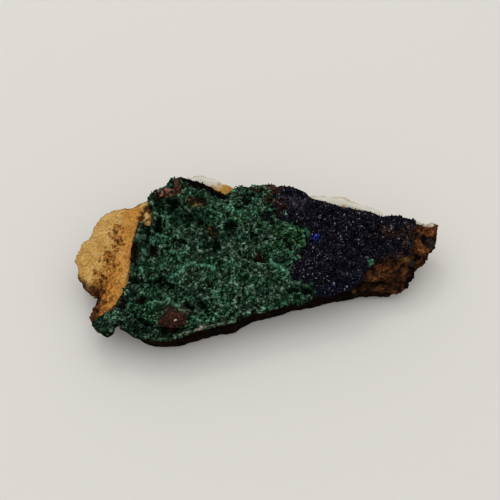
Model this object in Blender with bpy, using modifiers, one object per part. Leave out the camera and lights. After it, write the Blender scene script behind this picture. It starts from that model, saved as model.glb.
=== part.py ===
"""Azurite specimen: a broken slab of sandstone that carries two mineral crusts on its sloping upper face.

host_rock        the sandstone: a tan block on the left, pale ledges at the back, a rusty end on the right
malachite_crust  the green crust on the left and middle, in small rounded mounds
azurite_crust    the dark blue crust on the right, set with blocky crystals

The slab lies on a flat patch under its middle. +X runs along the slab to its rusty end, +Y to its higher, back
edge, and +Z up. Each piece starts as its own outline, drawn from above and extruded, is remeshed finely, and is
then shaped vertex by vertex with a few plain functions of its place. All sizes are in metres.
"""

import math
import random

import bmesh
import bpy
import numpy as np
from mathutils import Matrix, Vector, noise
from mathutils.bvhtree import BVHTree

MM = 0.001

# The bed is the rock face that the crusts grow on.
BED_HEIGHT = 14.6 * MM
BED_RISE = 0.14  # it climbs to the back by this much per unit of Y
BED_WAVE = 0.5 * MM
BED_WAVELENGTH = 34 * MM
CRUST_GAP = 0.4 * MM

MALACHITE_THICKNESS = 2.5 * MM
AZURITE_THICKNESS = 1.7 * MM
RIM_SHARE = 0.45  # a crust's thickness at its rim, as a share of the full thickness
RIM_WIDTH = 3.0 * MM

# Outlines seen from above, in millimetres, running anticlockwise from the front left corner.
ROCK_OUTLINE = [
    (-49.2, -21.6), (-46.8, -23.2), (-44.0, -24.2), (-42.6, -20.4), (-41.2, -17.4), (-39.2, -17.2), (-37.6, -20.8),
    (-35.2, -24.2),
    (-31.8, -26.2), (-25.6, -26.4), (-23.0, -25.8), (-17.5, -23.6), (-11.5, -21.8), (-6.2, -20.2), (-1.5, -17.6),
    (4.8, -16.2), (9.0, -15.2), (14.0, -14.2), (17.6, -12.5), (22.0, -11.8), (26.0, -10.8), (30.0, -9.8),
    (34.0, -9.5), (38.0, -9.4), (41.4, -9.3), (44.2, -8.5), (46.6, -6.8), (47.6, -4.2), (49.0, -2.2),
    (51.4, -2.0), (51.3, 0.4), (51.8, 2.4), (53.6, 3.2), (54.2, 5.2), (54.7, 7.4), (55.2, 10.2), (52.6, 9.8),
    (50.2, 10.2), (46.0, 10.2), (43.0, 11.0), (39.0, 11.4), (36.8, 12.9), (34.4, 14.8), (31.5, 16.2), (29.2, 16.6),
    (25.0, 17.8), (20.8, 18.2), (16.2, 18.0), (13.0, 18.6), (10.0, 20.2), (1.4, 20.7), (-5.0, 20.0), (-7.8, 21.6),
    (-9.8, 22.9), (-14.2, 24.2), (-18.0, 24.7), (-21.6, 24.9), (-24.4, 23.4), (-26.4, 21.4), (-28.0, 19.4),
    (-31.4, 18.6), (-34.2, 17.2), (-37.0, 15.5), (-38.4, 14.9), (-42.2, 14.7), (-46.6, 13.6), (-49.0, 10.6),
    (-51.0, 5.4), (-52.9, 3.8), (-54.4, 0.8), (-55.2, -1.8), (-54.8, -3.2), (-53.0, -5.6), (-51.6, -7.8),
    (-48.8, -9.4), (-47.6, -12.3), (-48.8, -15.8), (-50.0, -19.4),
]
MALACHITE_OUTLINE = [
    (-47.8, -22.2), (-46.8, -24.0), (-43.4, -26.1), (-41.8, -24.8), (-40.5, -23.3), (-38.8, -23.8), (-35.8, -26.2),
    (-31.8, -27.2), (-25.4, -27.5), (-23.2, -27.0), (-19.2, -25.2), (-11.0, -22.9), (-6.2, -21.9), (-1.4, -19.1),
    (1.4, -19.1), (4.8, -17.8), (9.0, -16.9), (14.0, -15.9), (16.8, -14.1), (15.9, -11.5), (10.4, -9.2),
    (8.8, -7.6), (9.4, -5.4), (10.9, -2.9), (13.3, -1.0), (14.0, 1.4), (13.8, 5.6), (12.6, 8.0), (7.8, 8.9),
    (5.8, 10.0), (4.8, 13.2), (3.2, 15.0), (4.6, 18.2), (5.4, 21.0), (1.4, 21.4), (-4.8, 20.5), (-7.2, 19.8),
    (-8.9, 18.2), (-10.4, 18.2), (-13.8, 20.5), (-18.9, 22.6), (-23.6, 24.0), (-26.4, 23.4), (-27.8, 20.6),
    (-31.0, 19.6), (-33.2, 17.0), (-31.6, 12.4), (-31.5, 8.4), (-33.4, 7.2), (-35.2, 9.6), (-36.0, 6.2),
    (-37.0, 3.0), (-37.4, -5.2), (-37.7, -10.0), (-40.0, -14.8), (-42.2, -19.1), (-45.4, -20.4),
]
AZURITE_OUTLINE = [
    (17.4, -14.0), (21.8, -13.7), (27.0, -12.0), (30.2, -9.6), (32.0, -6.2), (35.0, -2.6), (38.4, -3.2),
    (42.0, -2.6), (45.2, -0.8), (46.6, 1.8), (47.0, 6.0), (48.0, 9.4), (45.0, 10.5), (41.4, 11.4), (37.0, 11.1),
    (34.4, 12.6), (28.4, 13.7), (24.4, 14.4), (20.8, 15.8), (16.4, 16.7), (14.6, 18.8), (10.8, 20.6), (6.2, 21.1),
    (5.4, 18.2), (4.0, 15.2), (5.6, 13.4), (6.6, 10.5), (8.2, 9.7), (13.2, 8.6), (14.6, 5.8), (14.8, 1.2),
    (13.9, -1.6), (11.6, -3.4), (10.2, -5.6), (9.7, -7.5), (10.9, -8.6), (16.5, -11.0),
]

# Rock: the sides draw in towards the spine as they go down, more at the back than at the front.
SLAB_DEPTH = 15 * MM  # of the extruded outline, before its vertices are moved
SPINE_OFFSET = -0.8 * MM
SPINE_SLOPE = 0.075
SPINE_BLEND = 9 * MM
FRONT_UNDERCUT = 0.05  # share of the way to the spine at the very bottom
BACK_UNDERCUT = 0.18
END_UNDERCUT = 0.25  # at the two ends the undercut falls to this share of itself
LENGTH_UNDERCUT = 0.35  # along X the sides draw in by this share of what they do along Y
UNDERCUT_POWER = 1.7
BASE_SINK = 1.9 * MM  # how far the lowest rock reaches below the resting plane before it is cut flat
BASE_SHOULDER = 6 * MM  # the underside curves up this close to its edge
BASE_SHOULDER_LIFT = 2.6 * MM
BLOCK_START = -42 * MM  # the tan block begins here and hangs clear of the surface
BLOCK_LIFT = 4.8 * MM
BLOCK_DROOP = 0.07
RUSTY_START = 46.5 * MM
RUSTY_DROP = 1.2 * MM
RUSTY_LIFT = 5.0 * MM
LEDGE_PITCH = 3.6 * MM
LEDGE_STEP = 0.9 * MM
ROCK_LUMP = 0.9 * MM
ROCK_LUMP_SIZE = 7 * MM
ROCK_GRAIN = 0.35 * MM
ROCK_GRAIN_SIZE = 2.4 * MM
CREASE_FROM = Vector((-41.0, 5.5)) * MM  # a shallow crease between the tan block and the crust's edge
CREASE_TO = Vector((-47.0, -12.3)) * MM
CREASE_WIDTH = 2.4 * MM
CREASE_DEPTH = 1.1 * MM
# Flat fracture faces: a point on each and the way it faces.
FRACTURES = [
    (Vector((38.0, -4.0, 14.0)) * MM, Vector((0.22, -0.67, 0.71))),  # the brown face at the front right
    (Vector((54.0, 2.0, 9.0)) * MM, Vector((0.80, -0.20, -0.56))),  # under the rusty point
    (Vector((-54.0, -3.0, 5.0)) * MM, Vector((-0.86, -0.36, -0.36))),  # the dark side of the tan block
    (Vector((-14.0, 24.6, 9.0)) * MM, Vector((0.05, 0.97, -0.20))),  # behind the first pale ledge
    (Vector((26.0, 17.8, 9.0)) * MM, Vector((0.28, 0.94, -0.15))),  # behind the second pale ledge
]

# Malachite: rounded mounds over a gently rolling crust.
MOUND_SIZE = 4.2 * MM
MOUND_HEIGHT = 1.1 * MM
ROLL_SIZE = 15 * MM
ROLL_HEIGHT = 0.9 * MM
# Small hollows in the green crust: centre, radius and depth.
HOLLOWS = [
    (Vector((-33.5, -0.5)) * MM, 2.6 * MM, 1.0 * MM),
    (Vector((-34.5, -7.8)) * MM, 3.0 * MM, 1.3 * MM),
    (Vector((1.5, 11.0)) * MM, 2.8 * MM, 1.0 * MM),
    (Vector((-10.0, 13.0)) * MM, 2.4 * MM, 0.8 * MM),
    (Vector((9.0, 4.5)) * MM, 1.8 * MM, 1.2 * MM),
]
# A lump of brown ironstone, overgrown by the green crust.
IRON_LUMP = Vector((-23.6, -21.0)) * MM
IRON_LUMP_RADIUS = 3.4 * MM
IRON_LUMP_HEIGHT = 1.5 * MM

# Azurite: blocky crystals that lean out of the crust at many angles.
CRYSTAL_SPACING = 2.35 * MM
CRYSTAL_RADIUS = 1.7 * MM
CRYSTAL_LENGTH = 3.4 * MM
CRYSTAL_SINK = 1.7 * MM
CRYSTAL_SIDES = 5
CRYSTAL_TAPER = 0.7
CRYSTAL_LEAN = math.radians(36)

ROCK_VOXEL = 1.1 * MM
CRUST_VOXEL = 0.8 * MM
ROCK_TRIANGLES = 2700
MALACHITE_TRIANGLES = 2900
AZURITE_TRIANGLES = 700

MATERIALS = {
    "host_rock": ((0.41, 0.24, 0.09, 1.0), 0.85),
    "malachite_crust": ((0.02, 0.09, 0.05, 1.0), 0.65),
    "azurite_crust": ((0.01, 0.011, 0.03, 1.0), 0.25),
}


def clear_scene():
    for obj in list(bpy.data.objects):
        bpy.data.objects.remove(obj)


def smoothstep(low, high, value):
    share = min(max((value - low) / (high - low), 0.0), 1.0)
    return share * share * (3 - 2 * share)


def wave(place, size, seed):
    """Smooth noise from -1 to 1, with lumps about this size."""
    return noise.noise(Vector((place.x / size, place.y / size, place.z / size + seed)))


def bed(place):
    """The height of the bed above a place."""
    flat = Vector((place.x, place.y, 0.0))
    return BED_HEIGHT + BED_RISE * place.y + BED_WAVE * wave(flat, BED_WAVELENGTH, 3.7)


def distance_inside(outline, places):
    """How far each place lies inside the outline, seen from above; below zero outside it."""
    corners = np.array(outline) * MM
    nexts = np.roll(corners, -1, axis=0)
    points = np.array([(p.x, p.y) for p in places])[:, None, :]
    along = nexts - corners
    share = np.clip(((points - corners) * along).sum(2) / (along**2).sum(1), 0, 1)
    nearest = np.linalg.norm(points - corners - share[..., None] * along, axis=2).min(1)
    crosses = (corners[:, 1] > points[..., 1]) != (nexts[:, 1] > points[..., 1])
    slope = along[:, 0] / np.where(along[:, 1] == 0, 1e-12, along[:, 1])
    left_of = points[..., 0] < corners[:, 0] + (points[..., 1] - corners[:, 1]) * slope
    inside = (crosses & left_of).sum(1) % 2 == 1
    return np.where(inside, nearest, -nearest)


def slab_of(name, outline, depth, voxel, collection):
    """The outline extruded upwards from z = 0 to depth, as an evenly remeshed solid."""
    curve = bpy.data.curves.new(name, "CURVE")
    curve.dimensions = "2D"
    curve.fill_mode = "BOTH"
    curve.extrude = depth / 2
    spline = curve.splines.new("POLY")
    spline.points.add(len(outline) - 1)
    for point, (x, y) in zip(spline.points, outline):
        point.co = (x * MM, y * MM, 0.0, 1.0)
    spline.use_cyclic_u = True
    guide = bpy.data.objects.new(name + "_outline", curve)
    collection.objects.link(guide)
    graph = bpy.context.evaluated_depsgraph_get()
    mesh = bpy.data.meshes.new_from_object(guide.evaluated_get(graph))
    mesh.transform(Matrix.Translation((0, 0, depth / 2)))
    bpy.data.objects.remove(guide)
    weld(mesh)
    mesh.name = name
    slab = bpy.data.objects.new(name, mesh)
    collection.objects.link(slab)
    remesh = slab.modifiers.new("even", "REMESH")
    remesh.mode = "VOXEL"
    remesh.voxel_size = voxel
    bake_modifiers(slab)
    return slab


def weld(mesh):
    shape = bmesh.new()
    shape.from_mesh(mesh)
    bmesh.ops.remove_doubles(shape, verts=shape.verts, dist=1e-6)
    bmesh.ops.recalc_face_normals(shape, faces=shape.faces)
    shape.to_mesh(mesh)
    shape.free()


def bake_modifiers(obj):
    """Replaces the object's mesh with what its modifiers make of it."""
    graph = bpy.context.evaluated_depsgraph_get()
    made = bpy.data.meshes.new_from_object(obj.evaluated_get(graph))
    obj.modifiers.clear()
    old = obj.data
    obj.data = made
    made.name = old.name + "_solid"
    bpy.data.meshes.remove(old)


def decimate(obj, triangles):
    obj.data.calc_loop_triangles()
    thin = obj.modifiers.new("thin", "DECIMATE")
    thin.ratio = triangles / len(obj.data.loop_triangles)
    bake_modifiers(obj)


def crease_depth(place):
    along = CREASE_TO - CREASE_FROM
    flat = Vector((place.x, place.y))
    share = min(max((flat - CREASE_FROM).dot(along) / along.length_squared, 0.0), 1.0)
    aside = (flat - CREASE_FROM - share * along).length
    return CREASE_DEPTH * (0.4 + 0.6 * share) * math.exp(-((aside / CREASE_WIDTH) ** 2))


def rock_top(place, exposed):
    """The height of the rock's upper face. exposed is 0 under a crust and 1 where the rock is bare."""
    bare = crease_depth(place)
    bare += BLOCK_DROOP * max(BLOCK_START - place.x, 0.0)
    bare += RUSTY_DROP * smoothstep(RUSTY_START, RUSTY_START + 4 * MM, place.x)
    bare -= 0.6 * ROCK_LUMP * wave(place, ROCK_LUMP_SIZE, 11.0)
    return bed(place) - exposed * bare


def rock_bottom(place, inside):
    lift = BASE_SHOULDER_LIFT * (1 - smoothstep(0, BASE_SHOULDER, inside))
    lift += BLOCK_LIFT * smoothstep(BLOCK_START + 4 * MM, BLOCK_START - 6 * MM, place.x)
    lift += RUSTY_LIFT * smoothstep(36 * MM, 50 * MM, place.x)
    lift += ROCK_LUMP * wave(place, 2 * ROCK_LUMP_SIZE, 5.0)
    return lift - BASE_SINK


def lay_rock_vertex(place, exposed, inside):
    """Moves a vertex of the extruded outline to its place in the broken slab."""
    share = min(max(place.z / SLAB_DEPTH, 0.0), 1.0)
    spine = SPINE_OFFSET + SPINE_SLOPE * place.x
    backward = smoothstep(-SPINE_BLEND, SPINE_BLEND, place.y - spine)
    undercut = FRONT_UNDERCUT + (BACK_UNDERCUT - FRONT_UNDERCUT) * backward
    middle = smoothstep(-50 * MM, -38 * MM, place.x) * smoothstep(42 * MM, 30 * MM, place.x)
    undercut *= END_UNDERCUT + (1 - END_UNDERCUT) * middle
    pull = undercut * (1 - share) ** UNDERCUT_POWER
    top, bottom = rock_top(place, exposed), rock_bottom(place, inside)
    return Vector((
        place.x * (1 - LENGTH_UNDERCUT * pull),
        place.y + (spine - place.y) * pull,
        bottom + (top - bottom) * share,
    ))


def roughen_rock(place, normal, exposed, upper):
    """Ledges and lumps on the sides, fading out towards the upper edge, and grain on every bare face."""
    sideways = Vector((normal.x, normal.y, 0.0))
    layer = place.z / LEDGE_PITCH + 0.7 * wave(place, 14 * MM, 21.0)
    ledge = LEDGE_STEP * (smoothstep(0.25, 0.6, layer % 1.0) - 1)
    lump = ROCK_LUMP * (wave(place, ROCK_LUMP_SIZE, 31.0) - 0.3)
    grain = ROCK_GRAIN * wave(place, ROCK_GRAIN_SIZE, 41.0)
    return place + sideways * (ledge + lump) * (1 - 0.8 * upper) + normal * grain * max(exposed, 1 - upper)


def chip(place):
    """A vertex beyond a fracture face is set back onto it."""
    for point, facing in FRACTURES:
        way = facing.normalized()
        beyond = (place - point).dot(way)
        if beyond > 0:
            place = place - way * beyond
    return place


def cut_flat(obj):
    """Cuts the underside off at z = 0 and closes the cut."""
    shape = bmesh.new()
    shape.from_mesh(obj.data)
    geometry = shape.verts[:] + shape.edges[:] + shape.faces[:]
    cut = bmesh.ops.bisect_plane(
        shape, geom=geometry, dist=1e-6, plane_co=(0, 0, 0), plane_no=(0, 0, -1), clear_outer=True
    )
    rim = [piece for piece in cut["geom_cut"] if isinstance(piece, bmesh.types.BMEdge)]
    bmesh.ops.holes_fill(shape, edges=rim)
    bmesh.ops.triangulate(shape, faces=shape.faces[:])
    shape.to_mesh(obj.data)
    shape.free()


def make_rock(collection):
    rock = slab_of("host_rock", ROCK_OUTLINE, SLAB_DEPTH, ROCK_VOXEL, collection)
    vertices = rock.data.vertices
    places = [v.co.copy() for v in vertices]
    covered = np.maximum(
        distance_inside(MALACHITE_OUTLINE, places), distance_inside(AZURITE_OUTLINE, places)
    )
    bare = [1 - smoothstep(-2.5 * MM, -0.5 * MM, inside) for inside in covered]
    for vertex, place, exposed, inside in zip(vertices, places, bare, distance_inside(ROCK_OUTLINE, places)):
        vertex.co = lay_rock_vertex(place, exposed, inside)
    rock.data.update()
    normals = [v.normal.copy() for v in vertices]
    for vertex, place, normal, exposed in zip(vertices, places, normals, bare):
        upper = smoothstep(0.7, 0.95, place.z / SLAB_DEPTH)
        vertex.co = chip(roughen_rock(vertex.co, normal, exposed, upper))
    decimate(rock, ROCK_TRIANGLES)
    cut_flat(rock)
    return rock


def mound(place):
    """Rounded mounds, packed side by side."""
    near = noise.voronoi(Vector((place.x, place.y, 0.0)) / MOUND_SIZE)[0]
    return max(1 - (near[0] / 0.75) ** 2, 0.0)


def malachite_relief(place):
    flat = Vector((place.x, place.y, 0.0))
    relief = MOUND_HEIGHT * (mound(place) - 0.5) + ROLL_HEIGHT * wave(flat, ROLL_SIZE, 51.0)
    for centre, radius, depth in HOLLOWS:
        aside = (Vector((place.x, place.y)) - centre).length
        relief -= depth * math.exp(-((aside / radius) ** 2))
    aside = (Vector((place.x, place.y)) - IRON_LUMP).length / IRON_LUMP_RADIUS
    return relief + IRON_LUMP_HEIGHT * math.exp(-(aside**4))


def azurite_relief(place):
    flat = Vector((place.x, place.y, 0.0))
    return 0.5 * ROLL_HEIGHT * wave(flat, ROLL_SIZE, 61.0)


def make_crust(name, outline, thickness, relief, triangles, collection):
    """A crust that follows the bed underneath and rises to its relief on top."""
    crust = slab_of(name, outline, thickness, CRUST_VOXEL, collection)
    vertices = crust.data.vertices
    places = [v.co.copy() for v in vertices]
    for vertex, place, inside in zip(vertices, places, distance_inside(outline, places)):
        shoulder = RIM_SHARE + (1 - RIM_SHARE) * math.sin(0.5 * math.pi * min(max(inside, 0) / RIM_WIDTH, 1))
        height = thickness * shoulder + relief(place) * shoulder
        vertex.co.z = bed(place) + CRUST_GAP + height * place.z / thickness
    crust.data.update()
    decimate(crust, triangles)
    return crust


def crystal_places(outline):
    """Places for crystals inside the outline, no two closer than the spacing, and the room round each."""
    draw = random.Random(7)
    corners = np.array(outline) * MM
    low, high = corners.min(0), corners.max(0)
    tries = [Vector((draw.uniform(low[0], high[0]), draw.uniform(low[1], high[1]), 0.0)) for _ in range(4000)]
    chosen = []
    for place, inside in zip(tries, distance_inside(outline, tries)):
        apart = all((place - other).length > CRYSTAL_SPACING for other, _ in chosen)
        if inside > 0.6 * CRYSTAL_RADIUS and apart:
            chosen.append((place, inside))
    return chosen


def add_crystal(shape, foot, room, draw):
    """One blocky crystal: a prism, flattened, drawn in at its tip, and leaning. It stays above the bed."""
    size = min(draw.uniform(0.8, 1.15), 0.85 * room / CRYSTAL_RADIUS)
    made = bmesh.ops.create_cone(
        shape,
        cap_ends=True,
        segments=CRYSTAL_SIDES,
        radius1=CRYSTAL_RADIUS * size,
        radius2=CRYSTAL_RADIUS * CRYSTAL_TAPER * size,
        depth=CRYSTAL_LENGTH * size,
    )
    flatten = Matrix.Diagonal((1.0, draw.uniform(0.6, 0.95), 1.0, 1.0))
    lean = Matrix.Rotation(draw.uniform(0, CRYSTAL_LEAN), 4, "X")
    turn = Matrix.Rotation(draw.uniform(0, 2 * math.pi), 4, "Z")
    spin = Matrix.Rotation(draw.uniform(0, 2 * math.pi), 4, "Z")
    raise_up = Matrix.Translation((0, 0, (0.5 * CRYSTAL_LENGTH - CRYSTAL_SINK) * size))
    bmesh.ops.transform(
        shape, matrix=Matrix.Translation(foot) @ turn @ lean @ raise_up @ spin @ flatten, verts=made["verts"]
    )
    for corner in made["verts"]:
        corner.co.z = max(corner.co.z, bed(corner.co) + 1.5 * CRUST_GAP)


def add_crystals(crust, outline, collection):
    """Joins the crystals to the crust as one solid."""
    draw = random.Random(19)
    surface = BVHTree.FromObject(crust, bpy.context.evaluated_depsgraph_get())
    shape = bmesh.new()
    for place, room in crystal_places(outline):
        foot = surface.ray_cast(place + Vector((0, 0, 1)), Vector((0, 0, -1)))[0]
        add_crystal(shape, foot, room, draw)
    mesh = bpy.data.meshes.new("crystals")
    shape.to_mesh(mesh)
    shape.free()
    crystals = bpy.data.objects.new("crystals", mesh)
    collection.objects.link(crystals)
    join = crust.modifiers.new("grow", "BOOLEAN")
    join.operation = "UNION"
    join.object = crystals
    join.use_self = True
    bake_modifiers(crust)
    bpy.data.objects.remove(crystals)


def finish(obj, parent):
    colour, roughness = MATERIALS[obj.name]
    material = bpy.data.materials.new(obj.name)
    material.use_nodes = True
    shader = material.node_tree.nodes["Principled BSDF"]
    shader.inputs["Base Color"].default_value = colour
    shader.inputs["Roughness"].default_value = roughness
    obj.data.materials.clear()
    obj.data.materials.append(material)
    obj.parent = parent


def centre_on_base(parent, pieces):
    """Sets the specimen's origin at the middle of its box, at the level that it rests on."""
    corners = [vertex.co for piece in pieces for vertex in piece.data.vertices]
    for axis in (0, 1):
        reach = [corner[axis] for corner in corners]
        parent.location[axis] = -0.5 * (min(reach) + max(reach))


def main():
    clear_scene()
    collection = bpy.data.collections.new("azurite_specimen")
    bpy.context.scene.collection.children.link(collection)
    specimen = bpy.data.objects.new("specimen", None)
    collection.objects.link(specimen)
    rock = make_rock(collection)
    malachite = make_crust(
        "malachite_crust", MALACHITE_OUTLINE, MALACHITE_THICKNESS, malachite_relief, MALACHITE_TRIANGLES, collection
    )
    azurite = make_crust(
        "azurite_crust", AZURITE_OUTLINE, AZURITE_THICKNESS, azurite_relief, AZURITE_TRIANGLES, collection
    )
    add_crystals(azurite, AZURITE_OUTLINE, collection)
    pieces = [rock, malachite, azurite]
    for piece in pieces:
        finish(piece, specimen)
    centre_on_base(specimen, pieces)


main()
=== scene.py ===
"""The azurite specimen's looks: broken sandstone with a crust of malachite tufts and an azurite druse.

Each crust is a base with thousands of small shapes, scattered over it by Geometry Nodes and made one mesh.
Where the stone is stained, or another mineral shows, and where light and shade are painted into the colour,
is kept on the vertices as named masks from 0 to 1.
Lengths below are in millimetres unless a name or comment says otherwise. x runs right, y back and z up.
"""

import math
import random

import bmesh
import bpy
import numpy as np
from mathutils import Matrix, Vector, noise
from mathutils.bvhtree import BVHTree


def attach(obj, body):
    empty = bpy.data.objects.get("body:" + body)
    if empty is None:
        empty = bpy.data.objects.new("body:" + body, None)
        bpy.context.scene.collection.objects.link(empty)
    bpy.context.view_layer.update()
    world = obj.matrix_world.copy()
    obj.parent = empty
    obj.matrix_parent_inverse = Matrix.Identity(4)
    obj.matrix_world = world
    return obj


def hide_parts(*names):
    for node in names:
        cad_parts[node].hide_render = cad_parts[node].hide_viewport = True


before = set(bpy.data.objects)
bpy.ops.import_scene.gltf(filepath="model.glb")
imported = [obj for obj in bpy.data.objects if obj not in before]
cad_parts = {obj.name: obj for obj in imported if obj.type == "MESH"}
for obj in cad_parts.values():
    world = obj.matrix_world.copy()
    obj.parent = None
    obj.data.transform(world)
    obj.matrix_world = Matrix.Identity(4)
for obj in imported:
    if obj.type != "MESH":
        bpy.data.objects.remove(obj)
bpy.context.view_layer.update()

MM = 0.001
NOISE_SEED_STEP = 17.3
CELL_REACH = 0.75
GRAIN_NUMBER_SPREAD = 40
FLOW_TURN = math.radians(18)
FLOW_STRETCH = 0.35


def smoothstep(low, high, value):
    share = np.clip((value - low) / (high - low), 0, 1)
    return share * share * (3 - 2 * share)


# Masks on vertices


def places_of(mesh):
    """The vertices' places, in millimetres."""
    flat = np.empty(3 * len(mesh.vertices), np.float32)
    mesh.vertices.foreach_get("co", flat)
    return flat.reshape(-1, 3).astype(float) / MM


def normals_of(mesh):
    flat = np.empty(3 * len(mesh.vertices), np.float32)
    mesh.vertex_normals.foreach_get("vector", flat)
    return flat.reshape(-1, 3).astype(float)


def put_places(mesh, places):
    mesh.vertices.foreach_set("co", (places * MM).astype(np.float32).ravel())
    mesh.update()


def paint(mesh, name, values):
    """Keeps a mask on the mesh's vertices."""
    layer = mesh.attributes.new(name, "FLOAT", "POINT")
    layer.data.foreach_set("value", np.clip(values, 0, 1).astype(np.float32))


def noise_spots(places, size, seed):
    """Where noise of this size is read for each place. Each seed reads a part of its own."""
    return (Vector(spot) for spot in places / size + (0, 0, NOISE_SEED_STEP * seed))


def cloud(places, size, seed):
    """Smooth noise, about -0.5 to 0.5, with lumps about this size."""
    return np.array([noise.noise(spot) for spot in noise_spots(places, size, seed)])


def patches(places, size, seed, low, high):
    """Patches about this size: 0 where a cloud is below the low value, 1 where it is above the high one."""
    return smoothstep(low, high, cloud(places, size, seed))


def swirl(places, reach, size, seed):
    """The places, each moved aside by smooth noise. The reach sets how far."""
    return places + reach * np.column_stack([cloud(places, size, seed + axis) for axis in range(3)])


def dome(near):
    """1 at a cell's middle, falling to about 0 at its edge."""
    return 1 - np.clip(near / CELL_REACH, 0, 1) ** 2


def cells(places, size, seed):
    """Rounded cells packed side by side, each one a dome."""
    return dome(np.array([noise.voronoi(spot)[0][0] for spot in noise_spots(places, size, seed)]))


def grains(places, size, seed):
    """Packed grains of about this size.

    Gives how high each place is on its grain, its gap to the next grain, and a number from 0 to 1 that
    belongs to the whole grain.
    """
    found = [noise.voronoi(spot) for spot in noise_spots(places, size, seed)]
    near, beyond = np.array([distances[:2] for distances, _ in found]).T
    own = np.array([noise.cell(middles[0] * GRAIN_NUMBER_SPREAD) for _, middles in found])
    return dome(near), smoothstep(0.03, 0.32, beyond - near), 0.5 + 0.5 * own


def ridges(places, size, seed):
    """Winding ridges about this far apart: 1 along a ridge, 0 between ridges."""
    bent = swirl(places, 0.35 * size, 0.8 * size, seed + 1)
    return 1 - np.clip(np.abs(cloud(bent, size, seed)) / 0.2, 0, 1)


def along_flow(places):
    """Places turned and squeezed so that noise on them is drawn out along the crust's flow."""
    x, y, z = places.T
    along = x * math.cos(FLOW_TURN) + y * math.sin(FLOW_TURN)
    across = y * math.cos(FLOW_TURN) - x * math.sin(FLOW_TURN)
    return np.column_stack([FLOW_STRETCH * along, across, z])


def strokes(places, marks, ragged, seed, size=1.3):
    """How strongly a place is covered by any of the strokes, seen from above. Their edges are ragged.

    A stroke is x and y of its start, x and y of its end, and half its width. The size is that of the rags.
    """
    nearest = np.full(len(places), np.inf)
    for x1, y1, x2, y2, half_width in marks:
        start, along = np.array([x1, y1]), np.array([x2 - x1, y2 - y1])
        away = places[:, :2] - start
        share = np.clip(away @ along / max(along @ along, 1e-9), 0, 1)
        nearest = np.minimum(nearest, np.linalg.norm(away - share[:, None] * along, axis=1) / half_width)
    return 1 - smoothstep(0.6, 1.25, nearest + ragged * 2 * cloud(places, size, seed))


def tree_of(node):
    return BVHTree.FromObject(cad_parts[node], bpy.context.evaluated_depsgraph_get())


def distance_to(tree, places):
    """How far each place is from a surface, in millimetres."""
    return np.array([tree.find_nearest(Vector(place) * MM)[3] for place in places]) / MM


def height_at(tree, x, y):
    """The height of a surface above a spot, in millimetres."""
    return tree.ray_cast(Vector((x, y, 100)) * MM, Vector((0, 0, -1)))[0].z / MM


def front_at(tree, x, z):
    """How far back a surface starts, seen from the front, in millimetres."""
    return tree.ray_cast(Vector((x, -100, z)) * MM, Vector((0, 1, 0)))[0].y / MM


# Making pieces


def new_piece(name, mesh):
    piece = bpy.data.objects.new(name, mesh)
    bpy.context.scene.collection.objects.link(piece)
    return piece


def bake_modifiers(piece):
    """Replaces the piece's mesh with what its modifiers make of it."""
    graph = bpy.context.evaluated_depsgraph_get()
    made = bpy.data.meshes.new_from_object(piece.evaluated_get(graph))
    piece.modifiers.clear()
    old = piece.data
    piece.data = made
    bpy.data.meshes.remove(old)
    made.name = piece.name


def even_out(piece, voxel):
    remesh = piece.modifiers.new("even", "REMESH")
    remesh.mode = "VOXEL"
    remesh.voxel_size = voxel * MM
    bake_modifiers(piece)


def smooth_out(piece, rounds, chosen=None):
    """Smooths the piece, or only the vertices that are chosen."""
    shape = bmesh.new()
    shape.from_mesh(piece.data)
    corners = list(shape.verts)
    if chosen is not None:
        corners = [corner for corner, is_in in zip(corners, chosen) if is_in]
    for _ in range(rounds):
        bmesh.ops.smooth_vert(
            shape, verts=corners, factor=0.5, use_axis_x=True, use_axis_y=True, use_axis_z=True
        )
    shape.to_mesh(piece.data)
    shape.free()


def fine_copy(node, name, voxel):
    """A merged copy of a solid, evenly remeshed."""
    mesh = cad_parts[node].data.copy()
    mesh.name = name
    mesh.materials.clear()
    shape = bmesh.new()
    shape.from_mesh(mesh)
    bmesh.ops.remove_doubles(shape, verts=shape.verts, dist=1e-6)
    shape.to_mesh(mesh)
    shape.free()
    piece = new_piece(name, mesh)
    even_out(piece, voxel)
    return piece


def hand_over(piece, material, node, smooth=True):
    piece.data.materials.clear()
    piece.data.materials.append(material)
    if smooth:
        piece.data.shade_smooth()
    else:
        piece.data.shade_flat()
    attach(piece, "root")
    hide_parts(node)


# Materials

# The Mix node has sockets of one name for each kind of value. These are its share and its two colours.
COLOUR_MIX_INPUTS = (0, 6, 7)
COLOUR_MIX_OUTPUT = 2


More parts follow.
